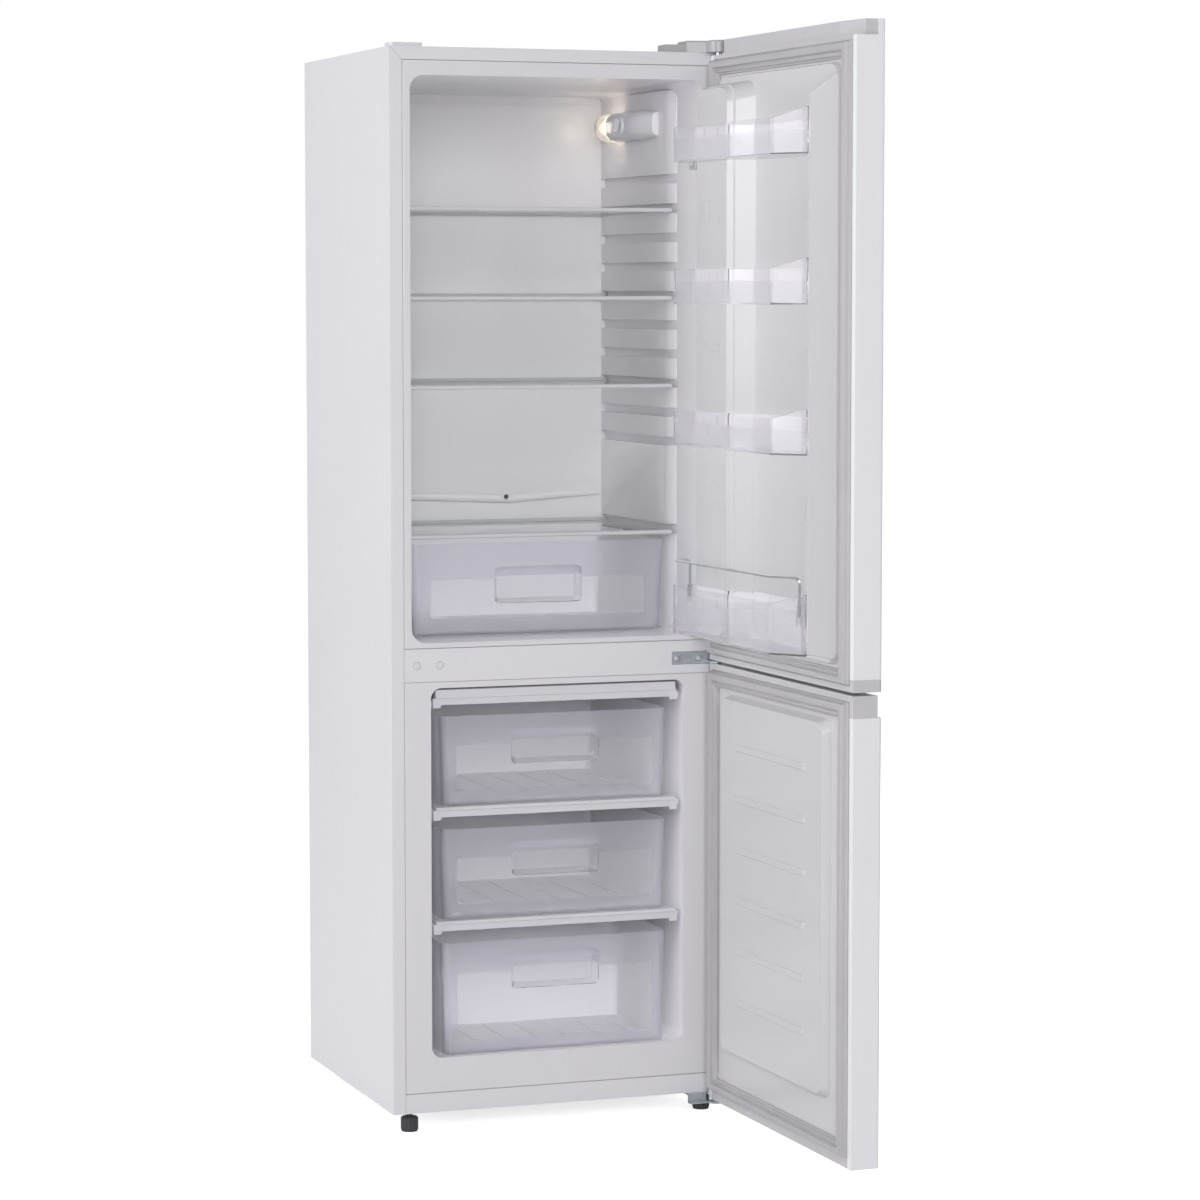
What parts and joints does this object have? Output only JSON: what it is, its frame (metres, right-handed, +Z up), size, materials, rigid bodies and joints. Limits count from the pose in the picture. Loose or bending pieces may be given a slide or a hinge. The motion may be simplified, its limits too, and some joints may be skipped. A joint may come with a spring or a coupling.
{
  "type": "bottom freezer refrigerator",
  "caption": "Upright refrigerator over a freezer, both doors open, with glass shelves, a vegetable drawer, freezer drawers and door bins that move.",
  "frame": {"origin": "on the floor under the middle of the whole outline, with both doors open as they are stored", "axes": "+Z up, front towards -Y, +X to the right of someone who stands in front"},
  "size_m": [0.6331, 1.1239, 1.85],
  "materials": {
    "painted_shell": "white paint with a fine texture, satin",
    "plain_steel": "coated steel sheet, satin",
    "dark_steel": "black paint, semi-gloss",
    "zinc_steel": "zinc-plated steel",
    "white_liner": "white moulded liner, satin",
    "grey_plastic": "pale grey moulded plastic",
    "white_plastic": "white moulded plastic",
    "dark_plastic": "dark moulded plastic",
    "foam": "rigid insulating foam, hidden",
    "seal": "light grey flexible seal",
    "black_rubber": "black rubber",
    "shelf_glass": "clear toughened glass, green at its edges",
    "frosted_drawer": "translucent clear and frosted plastic",
    "clear_bin": "clear and frosted plastic",
    "lamp_glass": "lamp glass",
    "chrome_wire": "bright chrome",
    "copper": "copper tube",
    "plain_white_metal": "white enamelled steel"
  },
  "bodies": {
    "cabinet": {"cabinet_shell": "painted_shell", "back_panel": "plain_steel", "base_tray": "painted_shell", "mid_rail": "painted_shell", "fridge_liner": "white_liner", "freezer_liner": "white_liner", "insulation": "foam", "hole_plugs": "grey_plastic", "evaporators": "plain_white_metal", "evaporator_trims": "white_plastic", "compressor_plate": "zinc_steel", "compressor_mounts": "black_rubber", "compressor": "dark_steel", "relay_box": "dark_plastic", "drip_tray": "dark_plastic", "drain_pipe": "white_plastic", "refrigerant_pipes": "copper", "rear_feet": "dark_plastic", "top_hinge": "zinc_steel", "top_hinge_cover": "grey_plastic", "mid_hinge": "zinc_steel", "bottom_hinge": "zinc_steel", "hinge_screws": "zinc_steel", "thermostat_housing": "white_plastic", "lamp_cover": "clear_bin", "lamp": "lamp_glass", "door_switch_body": "white_plastic"},
    "upper_door": {"upper_door_skin": "painted_shell", "upper_door_top_cap": "grey_plastic", "upper_door_bottom_cap": "grey_plastic", "upper_door_liner": "white_liner", "upper_door_foam": "foam", "upper_gasket": "seal"},
    "lower_door": {"lower_door_skin": "painted_shell", "lower_door_grip_cap": "grey_plastic", "lower_door_bottom_cap": "grey_plastic", "lower_door_liner": "white_liner", "lower_door_foam": "foam", "lower_gasket": "seal"},
    "bottle_bin": {"bottle_bin": "clear_bin", "bottle_rail": "chrome_wire"},
    "cover_shelf": {"cover_shelf_glass": "shelf_glass", "cover_shelf_trims": "white_plastic"},
    "crisper": {"crisper": "frosted_drawer"},
    "thermostat_knob": {"thermostat_knob": "white_plastic"},
    "door_switch_button": {"door_switch_button": "white_plastic"},
    "foot_left": {"foot_left": "dark_plastic"},
    "foot_right": {"foot_right": "dark_plastic"},
    "shelf_1": {"shelf_1_glass": "shelf_glass", "shelf_1_trims": "white_plastic"},
    "freezer_drawer_1": {"freezer_drawer_1": "frosted_drawer"},
    "door_bin_1": {"door_bin_1": "clear_bin"},
    "shelf_2": {"shelf_2_glass": "shelf_glass", "shelf_2_trims": "white_plastic"},
    "freezer_drawer_2": {"freezer_drawer_2": "frosted_drawer"},
    "door_bin_2": {"door_bin_2": "clear_bin"},
    "shelf_3": {"shelf_3_glass": "shelf_glass", "shelf_3_trims": "white_plastic"},
    "freezer_drawer_3": {"freezer_drawer_3": "frosted_drawer"},
    "door_bin_3": {"door_bin_3": "clear_bin"}
  },
  "joints": [
    {"name": "upper_door_hinge", "type": "hinge", "parent": "cabinet", "child": "upper_door", "pos_m": [0.2619, 0.0166, 0.8], "axis": [0, 0, 1], "range_deg": [-91, 6]},
    {"name": "lower_door_hinge", "type": "hinge", "parent": "cabinet", "child": "lower_door", "pos_m": [0.2619, 0.0166, 0.8], "axis": [0, 0, 1], "range_deg": [-91, 6]},
    {"name": "shelf_1_slide", "type": "slide", "parent": "cabinet", "child": "shelf_1", "axis": [0, -1, 0], "range_m": [0, 0.14]},
    {"name": "shelf_2_slide", "type": "slide", "parent": "cabinet", "child": "shelf_2", "axis": [0, -1, 0], "range_m": [0, 0.14]},
    {"name": "shelf_3_slide", "type": "slide", "parent": "cabinet", "child": "shelf_3", "axis": [0, -1, 0], "range_m": [0, 0.14]},
    {"name": "cover_shelf_slide", "type": "slide", "parent": "cabinet", "child": "cover_shelf", "axis": [0, -1, 0], "range_m": [0, 0.14]},
    {"name": "crisper_slide", "type": "slide", "parent": "cabinet", "child": "crisper", "axis": [0, -1, 0], "range_m": [0, 0.14]},
    {"name": "freezer_drawer_1_slide", "type": "slide", "parent": "cabinet", "child": "freezer_drawer_1", "axis": [0, -1, 0], "range_m": [0, 0.32]},
    {"name": "freezer_drawer_2_slide", "type": "slide", "parent": "cabinet", "child": "freezer_drawer_2", "axis": [0, -1, 0], "range_m": [0, 0.32]},
    {"name": "freezer_drawer_3_slide", "type": "slide", "parent": "cabinet", "child": "freezer_drawer_3", "axis": [0, -1, 0], "range_m": [0, 0.2]},
    {"name": "door_bin_1_lift", "type": "slide", "parent": "upper_door", "child": "door_bin_1", "axis": [0, 0, 1], "range_m": [0, 0.014]},
    {"name": "door_bin_2_lift", "type": "slide", "parent": "upper_door", "child": "door_bin_2", "axis": [0, 0, 1], "range_m": [0, 0.014]},
    {"name": "door_bin_3_lift", "type": "slide", "parent": "upper_door", "child": "door_bin_3", "axis": [0, 0, 1], "range_m": [0, 0.014]},
    {"name": "bottle_bin_lift", "type": "slide", "parent": "upper_door", "child": "bottle_bin", "axis": [0, 0, 1], "range_m": [0, 0.014]},
    {"name": "thermostat_turn", "type": "hinge", "parent": "cabinet", "child": "thermostat_knob", "pos_m": [0.1876, 0.299, 1.716], "axis": [-1, 0, 0], "range_deg": [-120, 180]},
    {"name": "door_switch_press", "type": "slide", "parent": "cabinet", "child": "door_switch_button", "axis": [1, 0, 0], "range_m": [0, 0.003], "stiffness_N_per_m": 150, "springref_m": -0.004},
    {"name": "foot_left_turn", "type": "hinge", "parent": "cabinet", "child": "foot_left", "pos_m": [-0.2851, 0.049, 0.012], "axis": [0, 0, 1], "range_deg": [-180, 180]},
    {"name": "foot_right_turn", "type": "hinge", "parent": "cabinet", "child": "foot_right", "pos_m": [0.2469, 0.049, 0.012], "axis": [0, 0, 1], "range_deg": [-180, 180]}
  ]
}
